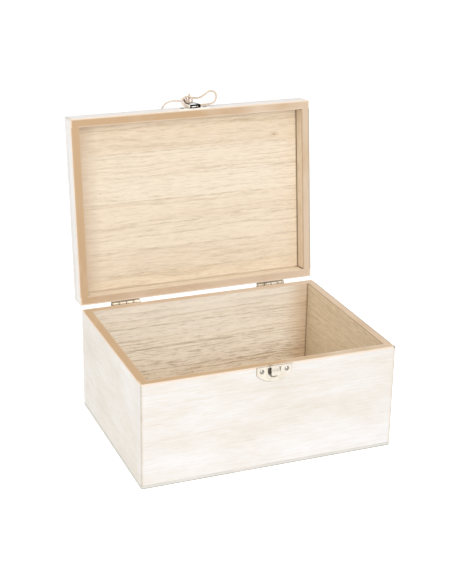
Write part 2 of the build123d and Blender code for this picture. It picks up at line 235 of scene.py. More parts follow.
def surface(name, grid, uv_scale):
    """A mesh from a grid of points: rows run along the piece and each row is a closed ring. Its two ends are
    closed, and its UV runs once round each ring and by uv_scale from row to row."""
    rows, ring = grid.shape[:2]
    r, c = np.meshgrid(np.arange(rows - 1), np.arange(ring), indexing="ij")
    n = (c + 1) % ring
    faces = np.stack([r * ring + c, r * ring + n, (r + 1) * ring + n, (r + 1) * ring + c], axis=-1)
    faces = faces.reshape(-1, 4).tolist()
    faces.append(list(range(ring))[::-1])
    faces.append([(rows - 1) * ring + k for k in range(ring)])
    mesh = bpy.data.meshes.new(name)
    mesh.from_pydata(grid.reshape(-1, 3).tolist(), [], faces)
    uv = mesh.uv_layers.new(name="along")
    corner = np.empty(len(mesh.loops), np.int32)
    mesh.loops.foreach_get("vertex_index", corner)
    row, col = corner // ring, corner % ring
    # the last quad of a ring ends at 1, not at the 0 of its shared points
    quads = 4 * (rows - 1) * ring
    last_quad = (np.repeat(np.arange((rows - 1) * ring), 4) % ring) == ring - 1
    extra = np.zeros(len(corner))
    extra[:quads][last_quad & (col[:quads] == 0)] = ring
    flat = np.stack([(col + extra) / ring, row * uv_scale], axis=1)
    uv.data.foreach_set("uv", flat.astype(np.float32).ravel())
    mesh.polygons.foreach_set("use_smooth", [True] * len(mesh.polygons))
    mesh.update()
    return to_scene(name, mesh)


def twine(name, route, radius, seed):
    """Two-ply twine along a route. The radius at each place is that of the twine, times a swell of 5 percent
    every 26 mm and one of 3.5 percent every 8 mm, times the outline of two plies side by side, which is 1
    over the plies and falls to 0.80 between them as a cosine to the power 0.8, turning once in 6.5 mm, times
    nine fine ridges of yarn. Its ends draw in over 0.6 mm."""
    step, ring, taper = 0.00022, 28, 0.0006
    swell_length, ripple_length, yarn_length, yarn_ridges = 0.0041, 0.0013, 0.0021, 9
    uv_row = 0.22
    places, points, side, other = along(smooth_line(route), step)
    phase = np.random.default_rng(seed).uniform(0, 6.28, 4)
    angle = np.linspace(0, 2 * np.pi, ring, endpoint=False)[None, :]
    s = places[:, None]
    swell = 1 + 0.05 * np.sin(s / swell_length + phase[0]) + 0.035 * np.sin(s / ripple_length + phase[1])
    lobes = 0.80 + 0.20 * np.abs(np.cos(angle - 2 * np.pi * s / PLY_TURN)) ** 0.8
    yarn = 1 + 0.025 * np.sin(yarn_ridges * angle + 2 * np.pi * s / yarn_length + phase[2])
    ends = np.minimum(1, 0.45 + 0.55 * np.sqrt(np.minimum(s, s[::-1]) / taper))
    reach = radius * swell * lobes * yarn * ends
    grid = points[:, None, :] + reach[..., None] * (
        np.cos(angle)[..., None] * side[:, None, :] + np.sin(angle)[..., None] * other[:, None, :]
    )
    return surface(name, grid, uv_row), points


def strands(name, line, radius, count, seed):
    """Loose jute hairs that leave a cord. Each is a thin three-sided thread, 1 to 3 mm long. From a root in
    the cord it goes along the cord in step with t, from 0 to 1, and away from it as t to the power 1.6, times
    a lean of 0.3 to 0.9, so that it leaves along the cord and bends away."""
    step, rows, ring = 0.0004, 6, 3
    thickness, shortest, longest = 0.00006, 0.0010, 0.0030
    rng = np.random.default_rng(seed)
    _, points, side, other = along(line, step)
    pick = rng.integers(2, len(points) - 3, count)
    turn_at = rng.uniform(0, 2 * np.pi, count)
    length = rng.uniform(shortest, longest, count)
    out = np.cos(turn_at)[:, None] * side[pick] + np.sin(turn_at)[:, None] * other[pick]
    forward = (points[pick + 1] - points[pick - 1]) / (2 * step) * rng.choice([-1, 1], count)[:, None]
    t = np.linspace(0, 1, rows)[None, :, None]
    lean = rng.uniform(0.3, 0.9, count)[:, None, None]
    # rooted a quarter of the radius deep
    start = points[pick][:, None, :] + out[:, None, :] * radius * 0.75
    spine = start + length[:, None, None] * (forward[:, None, :] * t + out[:, None, :] * lean * t ** 1.6)
    wall = np.cross(out, forward)
    angle = np.linspace(0, 2 * np.pi, ring, endpoint=False)
    thick = thickness * (1 - 0.6 * t)[..., None]
    grid = spine[:, :, None, :] + thick * (
        np.cos(angle)[None, None, :, None] * out[:, None, None, :]
        + np.sin(angle)[None, None, :, None] * wall[:, None, None, :]
    )
    each = rows * ring
    base = (np.arange(count) * each)[:, None, None, None]
    r, c = np.meshgrid(np.arange(rows - 1), np.arange(ring), indexing="ij")
    n = (c + 1) % ring
    quad = np.stack([r * ring + c, r * ring + n, (r + 1) * ring + n, (r + 1) * ring + c], axis=-1)
    faces = (base + quad[None]).reshape(-1, 4).tolist()
    faces += [[each * k + 2, each * k + 1, each * k] for k in range(count)]
    faces += [[each * (k + 1) - 3, each * (k + 1) - 2, each * (k + 1) - 1] for k in range(count)]
    mesh = bpy.data.meshes.new(name)
    mesh.from_pydata(grid.reshape(-1, 3).tolist(), [], faces)
    corner = np.empty(len(mesh.loops), np.int32)
    mesh.loops.foreach_get("vertex_index", corner)
    # each hair lies at its own place in the fibres' pattern
    flat = np.stack([(corner // each) * 0.37 % 1, (corner % each) / ring], axis=1)
    mesh.uv_layers.new(name="along").data.foreach_set("uv", flat.astype(np.float32).ravel())
    return to_scene(name, mesh)


loop, loop_line = twine("twine_loop_cord", loop_route, TWINE, 11)
tail, tail_line = twine("twine_tail_cord", tail_route, TWINE, 12)
knot, knot_line = twine("twine_knot_strand", knot_route, KNOT_STRAND, 13)
wrap, _ = twine("twine_knot_wrap", wrap_route, TWINE, 14)
# the knot's inner turn fills its middle, and its dark finish is painted shade
inner, _ = twine("twine_knot_inner_turn", inner_route, KNOT_INNER, 15)
loop_hairs = strands("twine_loop_hairs", loop_line, TWINE, 70, 31)
tail_hairs = strands("twine_tail_hairs", tail_line, TWINE, 44, 32)
knot_hairs = strands("twine_knot_hairs", knot_line, KNOT_HAIR_ROOT, 44, 33)
for piece, node in (
    (loop, "twine_loop"), (loop_hairs, "twine_loop"), (tail, "twine_tail"), (tail_hairs, "twine_tail"),
    (knot, "twine_knot"), (wrap, "twine_knot"), (inner, "twine_knot"), (knot_hairs, "twine_knot"),
):
    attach(piece, "lid")
    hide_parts(node)


# Finishes
def place_in_mm(tree, on_lid):
    """Object coordinates in millimetres, turned for the lid to where it lies when shut."""
    to_mm = {
        "Vector": add(tree, "ShaderNodeTexCoord").outputs["Object"],
        "Scale": (1000, 1000, 1000),
    }
    if on_lid:
        to_mm["Rotation"] = (LID_OPEN, 0, 0)
        to_mm["Location"] = PIVOT - Matrix.Rotation(LID_OPEN, 3, "X") @ PIVOT
    return add(tree, MAPPING, to_mm)


def measures(tree, on_lid):
    """A place on the shut box, and how far it lies, in millimetres, from the outer faces (walls and face),
    the upright arrises (corner), the rim, and the lid's top or the box's underside (foot, depth). With them
    go a slow noise, 45 mm from patch to patch, and a quicker one of 11 mm, uneven, that varies the edge of a
    worn place."""
    at = SimpleNamespace(place=place_in_mm(tree, on_lid))
    at.x, at.y, at.z = add(tree, SPLIT, (at.place,)).outputs
    side, at.face = (
        add(tree, MATH, (half, add(tree, MATH, (value,), operation="ABSOLUTE")), operation="SUBTRACT")
        for half, value in ((HALF_WIDTH, at.x), (BACK, at.y))
    )
    low, high = (LID_RIM, LID_TOP) if on_lid else (0.0, BOX_TOP)
    over = add(tree, MATH, (high, at.z), operation="SUBTRACT")
    under = add(tree, MATH, (at.z, low), operation="SUBTRACT")
    at.rim, flat = (under, over) if on_lid else (over, under)
    at.walls = add(tree, MATH, (side, at.face), operation="MINIMUM")
    at.corner = add(tree, MATH, (side, at.face), operation="MAXIMUM")
    at.depth = add(tree, MATH, (at.walls, flat), operation="MINIMUM") if on_lid else at.walls
    at.foot = add(tree, MATH, (at.walls, flat), operation="MAXIMUM")
    at.slow = add(tree, NOISE, {"Vector": at.place, "Scale": 0.022, "Detail": 2.0, "Roughness": 0.5})
    quick = add(tree, NOISE, {"Vector": at.place, "Scale": 0.09, "Detail": 4.0, "Roughness": 0.65})
    at.uneven = add(tree, MATH, (quick, -1.6, 0.8), operation="MULTIPLY_ADD")
    at.on_right = add(tree, MATH, (at.x, 0.0), operation="GREATER_THAN")
    return at


def paulownia(tree, axes, shift, seed, ring_mm, wild):
    """Figure of a board glued up from strips of paulownia, from its places along, across and through the
    grain. Gives how strong the growth lines, the pores, the pale flecks, the glue lines and the slow clouds
    are, and a number for each strip."""
    along_axis, across_axis, through_axis = axes

    def stretched(along_scale, across, across_scale, through):
        """A place in a noise that is drawn out along the grain."""
        return add(tree, COMBINE, (
            add(tree, MATH, (along_axis, along_scale), operation="MULTIPLY"),
            add(tree, MATH, (across, across_scale), operation="MULTIPLY"),
            through,
        ))

    # the strip that a place lies in, its own number, and how near its glue line is. The line wavers by 4 mm,
    # so that it doesn't look ruled, and its dark edge fades over a twelfth of the strip, 2 mm
    waver = add(tree, NOISE, {
        "Vector": add(tree, COMBINE, (along_axis, seed)), "Scale": 0.03, "Detail": 5.0, "Roughness": 0.8,
    })
    waved = add(tree, MATH, (waver, 4.0, across_axis), operation="MULTIPLY_ADD")
    strip = add(tree, MATH, (waved, 1 / STRIP, shift / STRIP), operation="MULTIPLY_ADD")
    number = add(tree, MATH, (strip,), operation="FLOOR")
    inside = add(tree, MATH, (strip,), operation="FRACT")
    chance = add(tree, "ShaderNodeTexWhiteNoise", {
        "W": add(tree, MATH, (number, seed * 3.7), operation="ADD"),
    }, noise_dimensions="1D")
    glue = add(tree, RANGE, (inside, 0.0, 0.085, 1.0, 0.0), interpolation_type="SMOOTHSTEP")

    # growth lines: the place across the board, bent by slow noise and a little by quick, counted off in ring
    # widths, 4 to 8 mm as the boards' faces show them. Each strip reads the noises at a depth of its own, up
    # to 400 mm from the next, so that no two are alike
    own = add(tree, MATH, (chance, 400.0, through_axis), operation="MULTIPLY_ADD")
    slow = stretched(0.009, across_axis, 0.026, add(tree, MATH, (own, 0.05), operation="MULTIPLY"))
    bend = add(tree, NOISE, {"Vector": slow, "Scale": 1.0, "Detail": 1.5, "Roughness": 0.4})
    tremble = add(tree, NOISE, {
        "Vector": stretched(0.07, across_axis, 0.25, own), "Scale": 1.0, "Detail": 3.0, "Roughness": 0.6,
    })
    bent = add(tree, MATH, (bend, 24.0 * wild, across_axis), operation="MULTIPLY_ADD")
    bent = add(tree, MATH, (tremble, 3.2 * wild, bent), operation="MULTIPLY_ADD")
    uneven = add(tree, NOISE, {
        "Vector": stretched(0.006, bent, 0.09, own), "Scale": 1.0, "Detail": 2.0, "Roughness": 0.6,
    })
    spread = add(tree, MATH, (uneven, ring_mm * 2.2, bent), operation="MULTIPLY_ADD")
    closeness = add(tree, MATH, (chance, 0.9 / ring_mm, 0.6 / ring_mm), operation="MULTIPLY_ADD")
    count = add(tree, MATH, (spread, closeness), operation="MULTIPLY")
    part = add(tree, MATH, (count,), operation="FRACT")
    late = add(tree, MATH, (part, 3.0), operation="POWER")
    edge = add(tree, RANGE, (part, 0.90, 1.0, 1.0, 0.0))
    faint = add(tree, RANGE, (uneven, 0.38, 0.62, 0.1, 1.0))
    rings = add(tree, MATH, (late, edge), operation="MULTIPLY")
    rings = add(tree, MATH, (rings, faint), operation="MULTIPLY")

    # open pores: dashes drawn 13 mm long and 1.3 mm apart where real ones are 0.4 apart, so that they show
    through = add(tree, MATH, (through_axis, 0.78, own), operation="MULTIPLY_ADD")
    pore_noise = add(tree, NOISE, {
        "Vector": stretched(0.075, bent, 0.78, through), "Scale": 1.0, "Detail": 3.0, "Roughness": 0.75,
    })
    crowd = add(tree, MATH, (rings, 0.12, pore_noise), operation="MULTIPLY_ADD")
    pores = add(tree, RANGE, (crowd, 0.50, 0.70, 0.0, 1.0))
    flecks = add(tree, RANGE, (pore_noise, 0.32, 0.48, 1.0, 0.0))
    clouds = add(tree, NOISE, {"Vector": slow, "Scale": 2.6, "Detail": 2.0, "Roughness": 0.5})
    # the glue line shows as dashes, where pores open on it
    dash = add(tree, RANGE, (tremble, 0.40, 0.62, 0.15, 1.0))
    glue = add(tree, MATH, (glue, dash), operation="MULTIPLY")
    return rings, pores, flecks, glue, clouds, chance


def wash(tree, at, rings, pores, thin, thick, rubbed):
    """Whitewash: thin over the dark grain, thick in patches 70 mm long, wiped along the board at 4 degrees.
    Gives its colour and the noise of the wiping, whose streaks are drawn 1 mm wide where a brush leaves finer
    ones, so that they show."""
    wiped = add(tree, NOISE, {
        "Vector": add(tree, MAPPING, {
            "Vector": at.place, "Rotation": (0, math.radians(-4), 0), "Scale": (0.04, 0.04, 1.0),
        }), "Scale": 1.0, "Detail": 6.0, "Roughness": 0.75,
    })
    patch = add(tree, NOISE, {
        "Vector": add(tree, MAPPING, {"Vector": at.place, "Scale": (0.8, 0.8, 2.2)}),
        "Scale": 0.014, "Detail": 4.0, "Roughness": 0.6,
    })
    cover = add(tree, MATH, (patch, 1.6, -0.73), operation="MULTIPLY_ADD")
    cover = add(tree, MATH, (wiped, 1.15, cover), operation="MULTIPLY_ADD")
    if rubbed:
        # rubbed thinner round the middle of the board, in an oval 170 by 84 mm, and thicker along its foot
        middle = add(tree, VECTOR, (add(tree, MAPPING, {
            "Vector": at.place, "Location": (-0.1, 0, -1.5), "Scale": (1 / 85, 0, 1 / 42),
        }),), operation="LENGTH")
        for value, start, stop, amount in ((middle, 0.1, 1.2, -0.20), (at.z, 2.0, 42.0, 0.16)):
            more = add(tree, RANGE, (value, start, stop, amount, 0.0))
            cover = add(tree, MATH, (cover, more), operation="ADD")
    cover = add(tree, MATH, (pores, -0.30, cover), operation="MULTIPLY_ADD")
    cover = add(tree, MATH, (rings, -0.18, cover), operation="MULTIPLY_ADD", use_clamp=True)
    return add(tree, MIX, {"Factor": cover, "A": linear(thin), "B": linear(thick)}, data_type="RGBA"), wiped


def long_board_light_and_shade(tree, at, rings, pores):
    """Painted light and shade inside the front and back boards: paler near the rim as painted light, deeper
    and with stronger grain towards the base as painted shade, and browner towards the right-hand corner as
    painted shade."""
    low_down = add(tree, RANGE, (at.z, 58.0, 30.0, 0.0, 0.4))
    grained = add(tree, MATH, (rings, 0.6, pores), operation="MULTIPLY_ADD", use_clamp=True)
    return (
        (add(tree, RANGE, (at.z, 60.0, 96.0, 0.0, 0.42)), "#fffaf2"),
        (add(tree, RANGE, (at.z, 52.0, 14.0, 0.0, 0.20)), "#d9c2a0"),
        (add(tree, MATH, (grained, low_down), operation="MULTIPLY"), "#93795a"),
        (add(tree, RANGE, (at.x, 84.0, 117.0, 0.0, 0.5), interpolation_type="SMOOTHERSTEP"), "#c39d6c"),
    )


def joint_and_shade_mask(tree, at, on_lid, grain):
    """A dark line, 1.6 mm wide, in the inner corners where the boards meet: partly their joints, partly
    painted shade. On the lid it is fainter, but for the right-hand end."""
    past_wall = add(tree, MATH, (at.walls if grain == "panel" else at.corner, WALL), operation="SUBTRACT")
    if grain != "panel":
        above = (LID_PANEL_FACE, at.z) if on_lid else (at.z, BASE_TOP)
        above = add(tree, MATH, above, operation="SUBTRACT")
        past_wall = add(tree, MATH, (past_wall, above), operation="MINIMUM")
    joint_shade = add(tree, RANGE, (past_wall, 0.3, 1.6, 0.85 if on_lid else 0.6, 0.0))
    if on_lid:
        right_end = add(tree, RANGE, (at.x, 112.0, 115.0, 0.38, 1.0))
        joint_shade = add(tree, MATH, (joint_shade, right_end), operation="MULTIPLY")
    return joint_shade


def pin_knot(tree, at, middle):
    """A pin knot: a brown spot 3.4 mm across the grain and twice that along it, with rings in it."""
    off = add(tree, VECTOR, (add(tree, COMBINE, (
        add(tree, MATH, (at.x, 0.55, -0.55 * middle[0]), operation="MULTIPLY_ADD"),
        add(tree, MATH, (at.y, middle[1]), operation="SUBTRACT"),
    )),), operation="LENGTH")
    swirl = add(tree, MATH, (add(tree, MATH, (off, 2.6), operation="MULTIPLY"),), operation="SINE")
    near = add(tree, RANGE, (off, 0.4, 3.4, 0.55, 0.0))
    spot = add(tree, MATH, (swirl, 0.25, 0.75), operation="MULTIPLY_ADD")
    return add(tree, MATH, (near, spot), operation="MULTIPLY")


def rim_wood(tree, at, grain):
    """The sanded edge of the boards at the rim: tanner than their faces, and pale along both its arrises,
    where they are sanded and where a highlight is painted. The right-hand side boards have a brown line of
    painted shade inside their rim and a grey one outside. Gives its colour and the streaks along it."""
    streak = add(tree, NOISE, {
        "Vector": add(tree, MAPPING, {
            "Vector": at.place, "Scale": (0.9, 0.05, 0.9) if grain == "y" else (0.05, 0.9, 0.9),
        }), "Scale": 1.0, "Detail": 4.0, "Roughness": 0.6,
    })
    # paler to the right and to the back, as painted light
    pale = add(tree, MATH, (at.slow, 2.0, -0.94), operation="MULTIPLY_ADD")
    pale = add(tree, MATH, (at.x, 0.0045, pale), operation="MULTIPLY_ADD")
    pale = add(tree, MATH, (at.y, 0.0035, pale), operation="MULTIPLY_ADD")
    pale = add(tree, MATH, (streak, 0.9, pale), operation="MULTIPLY_ADD", use_clamp=True)
    inner_edge = add(tree, MATH, (WALL, at.walls), operation="SUBTRACT")
    outer_light, inner_light = (0.2, 0.2) if grain == "y" else (1.0, 0.65)
    # the arrises are pale where they are sanded, and paler with a painted highlight
    arrises = add(tree, MATH, (
        add(tree, RANGE, (at.walls, 0.5, 1.9, outer_light, 0.0)),
        add(tree, RANGE, (inner_edge, 0.1, 1.2, inner_light, 0.0)),
    ), operation="MAXIMUM")
    colour = layered(tree, linear("#c9a984"), ((pale, "#ddc7ae"), (arrises, "#f0e0ce")))
    if grain == "y":
        # on the right-hand side boards: a brown line of painted shade inside the rim, and a grey line outside
        # it
        for value, stop, strength, tint in (
            (inner_edge, 1.3, 0.75, "#a5835c"), (at.walls, 2.0, 0.95, "#a99d8e"),
        ):
            right_rim_line = add(tree, RANGE, (value, 0.1, stop, strength, 0.0))
            right_rim_line = add(tree, MATH, (right_rim_line, at.on_right), operation="MULTIPLY")
            colour = layered(tree, colour, ((right_rim_line, tint),))
    return colour, streak


def rubbed_places(tree, at, on_lid, grain):
    """Where the wash is rubbed off: a cream border at the rim, cream bands beside the upright arrises, a
    grey-brown line on the arrises themselves and a grey line along the right-hand boards' rim. With them go
    the thin base board's own darker edge, a grey line along the foot that is painted shadow where the box
    stands, and the seam of that board or of the lid's panel."""
    near_rim = add(tree, MATH, (at.rim, at.uneven), operation="ADD")
    border = add(tree, RANGE, (near_rim, 0.5, 2.2, 0.85, 0.0))
    band = add(tree, RANGE, (at.corner, 1.0, 4.2, 0.8, 0.0), interpolation_type="SMOOTHSTEP")
    band = add(tree, MATH, (band, at.slow), operation="MULTIPLY")
    arris = add(tree, MATH, (at.corner, at.foot), operation="MINIMUM")
    arris = add(tree, MATH, (arris, at.uneven), operation="ADD")
    line = add(tree, RANGE, (arris, 0.55, 1.5, 0.5 if on_lid else 0.62, 0.0))
    layers = [(border, "#f3dec8"), (band, "#eadccb"), (line, "#b9ae9e")]
    if grain == "y":
        right_rim_grey = add(tree, RANGE, (at.rim, 0.4, 1.2, 0.8, 0.0))
        layers.append((add(tree, MATH, (right_rim_grey, at.on_right), operation="MULTIPLY"), "#b4b0a8"))
    # the lines along the foot and the seam are broken by slow noise, but not on the left-hand face
    broken = add(tree, RANGE, (at.slow, 0.36, 0.52, 0.25, 1.0))
    at_left = add(tree, MATH, (at.x, 0.2 - HALF_WIDTH), operation="LESS_THAN")
    broken = add(tree, MATH, (broken, at_left), operation="MAXIMUM")
    seam = add(tree, MATH, (at.z, LID_PANEL_FACE if on_lid else BASE_TOP), operation="SUBTRACT")
    seam = add(tree, MATH, (seam,), operation="ABSOLUTE")
    lines = [((seam, 0.10, 0.60, 0.35 if on_lid else 0.55, 0.0), "#b3aea2")]
    if not on_lid:
        ply = (at.z, BASE_TOP - 0.2, BASE_TOP + 0.1, 0.8, 0.0)
        # the underside line: a grey line along the foot, painted shadow where the box stands on the floor
        underside = (at.z, 0.5, 1.3, 0.72, 0.0)
        lines = [(ply, "#e2e0d8"), (underside, "#aaa79d")] + lines
    for fade, tint in lines:
        layers.append((add(tree, MATH, (add(tree, RANGE, fade), broken), operation="MULTIPLY"), tint))
    return layers


def catch_marks(tree, at):
    """Marks on the front board: a grey line of painted contact shadow against the catch plate, whose outline
    is two straight sides and, below them, an arc, bare dark wood as painted shade in the hollow behind the
    catch's tongue, and a dark spot at the right-hand corner."""
    beside = add(tree, MATH, (at.x, LATCH_X), operation="SUBTRACT")
    below = add(tree, MATH, (at.z, CATCH_ARC_Z), operation="SUBTRACT")
    reach = add(tree, VECTOR, (add(tree, COMBINE, (beside, None, below)),), operation="LENGTH")
    past_arc = add(tree, MATH, (reach, CATCH_ARC_RADIUS), operation="SUBTRACT")
    past_side = add(tree, MATH, (beside,), operation="ABSOLUTE")
    past_side = add(tree, MATH, (past_side, CATCH_HALF_WIDTH), operation="SUBTRACT")
    past = add(tree, MATH, (past_arc, past_side), operation="MAXIMUM")
    # a grey line of painted contact shadow round the plate
    plate_contact_shadow = add(tree, RANGE, (past, 0.25, 0.95, 0.75, 0.0))
    for value, limit, way in (
        (at.face, 1.0, "LESS_THAN"), (at.y, 0.0, "LESS_THAN"), (at.rim, 0.1, "GREATER_THAN"),
    ):
        within = add(tree, MATH, (value, limit), operation=way)
        plate_contact_shadow = add(tree, MATH, (plate_contact_shadow, within), operation="MULTIPLY")
    # painted shade of dark wood in the hollow behind the tongue, and a dark spot at the right-hand corner
    hollow, corner_spot = (
        add(tree, RANGE, (add(tree, VECTOR, (at.place, middle), operation="DISTANCE"), start, stop, 0.9, 0.0))
        for middle, start, stop in ((TONGUE_HOLLOW, 3.6, 5.4), ((HALF_WIDTH, FRONT, BOX_TOP), 1.0, 2.6))
    )
    dark = add(tree, MATH, (hollow, corner_spot), operation="MAXIMUM")
    return (plate_contact_shadow, "#a39d90"), (dark, "#4c4238")


def board(name, on_lid, grain, shift, seed, ring_mm=8.0, wild=1.0, pale="#f6e8d4", deep="#eddcc3", figure=1.0,
          thick_wash="#f3f1f0", thin_wash="#e2d9ce", knot_at=None, long_board=False):
    """Paulownia boards: bare and sanded inside, whitewashed outside and worn bare along the arrises.
    Bare paulownia is a pale, dull, open-grained wood; the wash lies thin in it as a matt chalky white."""
    material, tree = new_material(name)
    at = measures(tree, on_lid)
    axes = {"x": (at.x, at.z, at.y), "y": (at.y, at.z, at.x), "panel": (at.x, at.y, at.z)}[grain]
    rings, pores, flecks, glue, clouds, chance = paulownia(tree, axes, shift, seed, ring_mm, wild)
    washed, wiped = wash(tree, at, rings, pores, thin_wash, thick_wash, long_board)

    # bare wood: cream, tinted strip by strip, with darker lines, pores and glue lines
    wood = add(tree, MIX, {"Factor": chance, "A": linear(deep), "B": linear(pale)}, data_type="RGBA")
    wood = layered(tree, wood, (
        (add(tree, MATH, (how, strength), operation="MULTIPLY", use_clamp=True), tint)
        for how, strength, tint in (
            (clouds, 0.36, "#e6d2b8"), (flecks, 0.35, "#fdf3e4"), (rings, 0.30 * figure, "#b69b74"),
            (pores, 0.26 * figure, "#a28a66"), (glue, 0.36 * figure, "#94784f"),
        )
    ))
    if long_board:
        # painted light near the rim, and painted shade low down and towards the right-hand corner
        wood = layered(tree, wood, long_board_light_and_shade(tree, at, rings, pores))
    # the inner corners: their joints, darkened further as painted shade
    wood = layered(tree, wood, ((joint_and_shade_mask(tree, at, on_lid, grain), "#7b6143"),))
    if knot_at:
        # a little painted shade along the panel's left end, beside its rail, and a pin knot
        left_end_shade = add(tree, RANGE, (at.x, -115.0, -96.0, 0.62, 0.0))
        wood = layered(tree, wood, ((left_end_shade, "#cab6a0"), (pin_knot(tree, at, knot_at), "#bd946a")))

    rim_colour, streak = rim_wood(tree, at, grain)
    at_rim = add(tree, MATH, (at.rim, 0.45), operation="LESS_THAN")
    bare = add(tree, MIX, {"Factor": at_rim, "A": wood, "B": rim_colour}, data_type="RGBA")
    rubbed = layered(tree, washed, rubbed_places(tree, at, on_lid, grain))
    outside = add(tree, RANGE, (at.depth, 0.30, 0.42, 1.0, 0.0))
    colour = add(tree, MIX, {"Factor": outside, "A": bare, "B": rubbed}, data_type="RGBA")
    if long_board:
        colour = layered(tree, colour, catch_marks(tree, at))

    height = add(tree, MATH, (pores, -0.7, streak), operation="MULTIPLY_ADD")
    shader = add(tree, PRINCIPLED, {
        "Base Color": colour,
        "Roughness": add(tree, MATH, (wiped, 0.18, 0.56), operation="MULTIPLY_ADD"),
        "Normal": add(tree, BUMP, {"Height": height, "Strength": 0.22, "Distance": 0.0004}),
        "IOR": 1.47, "Specular IOR Level": 0.35,
    })
    add(tree, OUTPUT, {"Surface": shader})
    return material


def metal(name, bright, dull, roughness, patch_scale, on_lid=False, overlay_mask=None, overlay_tint="#14110f"):
    """Plated or drawn steel: a warm silver with faint pits and rubbed patches, drawn 5 or 6 mm across on the
    sheet and 0.5 mm on screws and brads, where real pits are a tenth of that, so that they show. A function
    of a place in millimetres, on the shut lid if on_lid is set, may be given that says where painted shade
    and painted dark reflections lie on it."""
    material, tree = new_material(name)
    place = place_in_mm(tree, on_lid)
    noise = add(tree, NOISE, {"Vector": place, "Scale": patch_scale, "Detail": 4.0})
    patches = add(tree, RANGE, (noise, 0.35, 0.7))
    tint = add(tree, MIX, {"Factor": patches, "A": linear(bright), "B": linear(dull)}, data_type="RGBA")
    if overlay_mask:
        # painted shade and painted dark reflections, where a function for them is given
        tint = layered(tree, tint, ((overlay_mask(tree, place), overlay_tint),))
    shader = add(tree, PRINCIPLED, {
        "Base Color": tint, "Metallic": 1.0,
        "Roughness": add(tree, MATH, (noise, 0.16, roughness), operation="MULTIPLY_ADD"),
        "Normal": add(tree, BUMP, {"Height": noise, "Strength": 0.10, "Distance": 0.0002}),
    })
    add(tree, OUTPUT, {"Surface": shader})
    return material


def knuckle_dark_reflection(tree, place):
    """Painted dark reflection: black along the latch plate's rolled knuckle but for a bright band round its
    middle height, which a black stripe crosses near its right end."""
    x, y, _ = add(tree, SPLIT, (place,)).outputs
    out = add(tree, MATH, (FRONT, y), operation="SUBTRACT")
    from_stripe, from_band = (
        add(tree, MATH, (add(tree, MATH, (value, middle), operation="SUBTRACT"),), operation="ABSOLUTE")
        for value, middle in ((x, KNUCKLE_STRIPE_X), (out, KNUCKLE_BAND_OUT))
    )
    stripe = add(tree, RANGE, (from_stripe, 0.40, 0.55, 1.0, 0.0))
    dark = add(tree, MATH, (add(tree, RANGE, (from_band, 0.42, 0.66)), stripe), operation="MAXIMUM")
    # the flat of the plate stays bright
    raised = add(tree, RANGE, (out, 0.85, 0.95))
    return add(tree, MATH, (dark, raised), operation="MULTIPLY")


def hasp_painted_shade(tree, place):
    """Painted shade: black on the walls of the hasp's slot and over the outer half of its right knuckle."""
    x, _, z = add(tree, SPLIT, (place,)).outputs
    across = add(tree, MATH, (x, LATCH_X), operation="SUBTRACT")
    right = add(tree, MATH, (
        add(tree, RANGE, (across, 4.2, 4.5)),
        add(tree, RANGE, (z, HASP_KNUCKLE_TOP, HASP_KNUCKLE_TOP + 0.8, 1.0, 0.0)),
    ), operation="MULTIPLY")
    width = add(tree, MATH, (across,), operation="ABSOLUTE")
    slot = add(tree, MATH, (
        add(tree, RANGE, (width, HASP_SLOT_WALL, HASP_SLOT_WALL + 0.12, 1.0, 0.0)),
        add(tree, RANGE, (z, HASP_SLOT_END + 0.05, HASP_SLOT_END + 0.15, 1.0, 0.0)),
    ), operation="MULTIPLY")
    return add(tree, MATH, (right, slot), operation="MAXIMUM")


def hinge_knuckle_shade(tree, place):
    """Brown painted shade above and below the hinges' knuckles and in the joints between them, less over the
    last, and none on the flat of the leaves."""
    x, _, z = add(tree, SPLIT, (place,)).outputs
    height = add(tree, MATH, (z, PIVOT.z), operation="SUBTRACT")
    height = add(tree, MATH, (height,), operation="ABSOLUTE")
    outline = add(tree, RANGE, (height, 1.5, 1.95, 0.0, 0.5))
    # how far along its hinge a place is, and how far from the middle of its knuckle
    run = add(tree, MATH, (x, -HINGE_START), operation="ADD")
    run = add(tree, MATH, (run, HINGE_STEP), operation="MODULO")
    last = add(tree, RANGE, (run, 21.5, 24.0, 1.0, 0.3))
    part = add(tree, MATH, (run, HINGE_KNUCKLE), operation="DIVIDE")
    part = add(tree, MATH, (part,), operation="FRACT")
    part = add(tree, MATH, (part, 0.5), operation="SUBTRACT")
    part = add(tree, MATH, (part,), operation="ABSOLUTE")
    joint = add(tree, RANGE, (part, 0.41, 0.45, 0.0, 0.6))
    knuckle_shade = add(tree, MATH, (outline, joint), operation="MAXIMUM")
    off_axis = add(tree, VECTOR, (add(tree, MAPPING, {
        "Vector": place, "Location": (0, -PIVOT.y, -PIVOT.z), "Scale": (0, 1, 1),
    }),), operation="LENGTH")
    for mask in (last, add(tree, RANGE, (off_axis, 2.3, 2.7, 1.0, 0.0))):
        knuckle_shade = add(tree, MATH, (knuckle_shade, mask), operation="MULTIPLY")
    return knuckle_shade


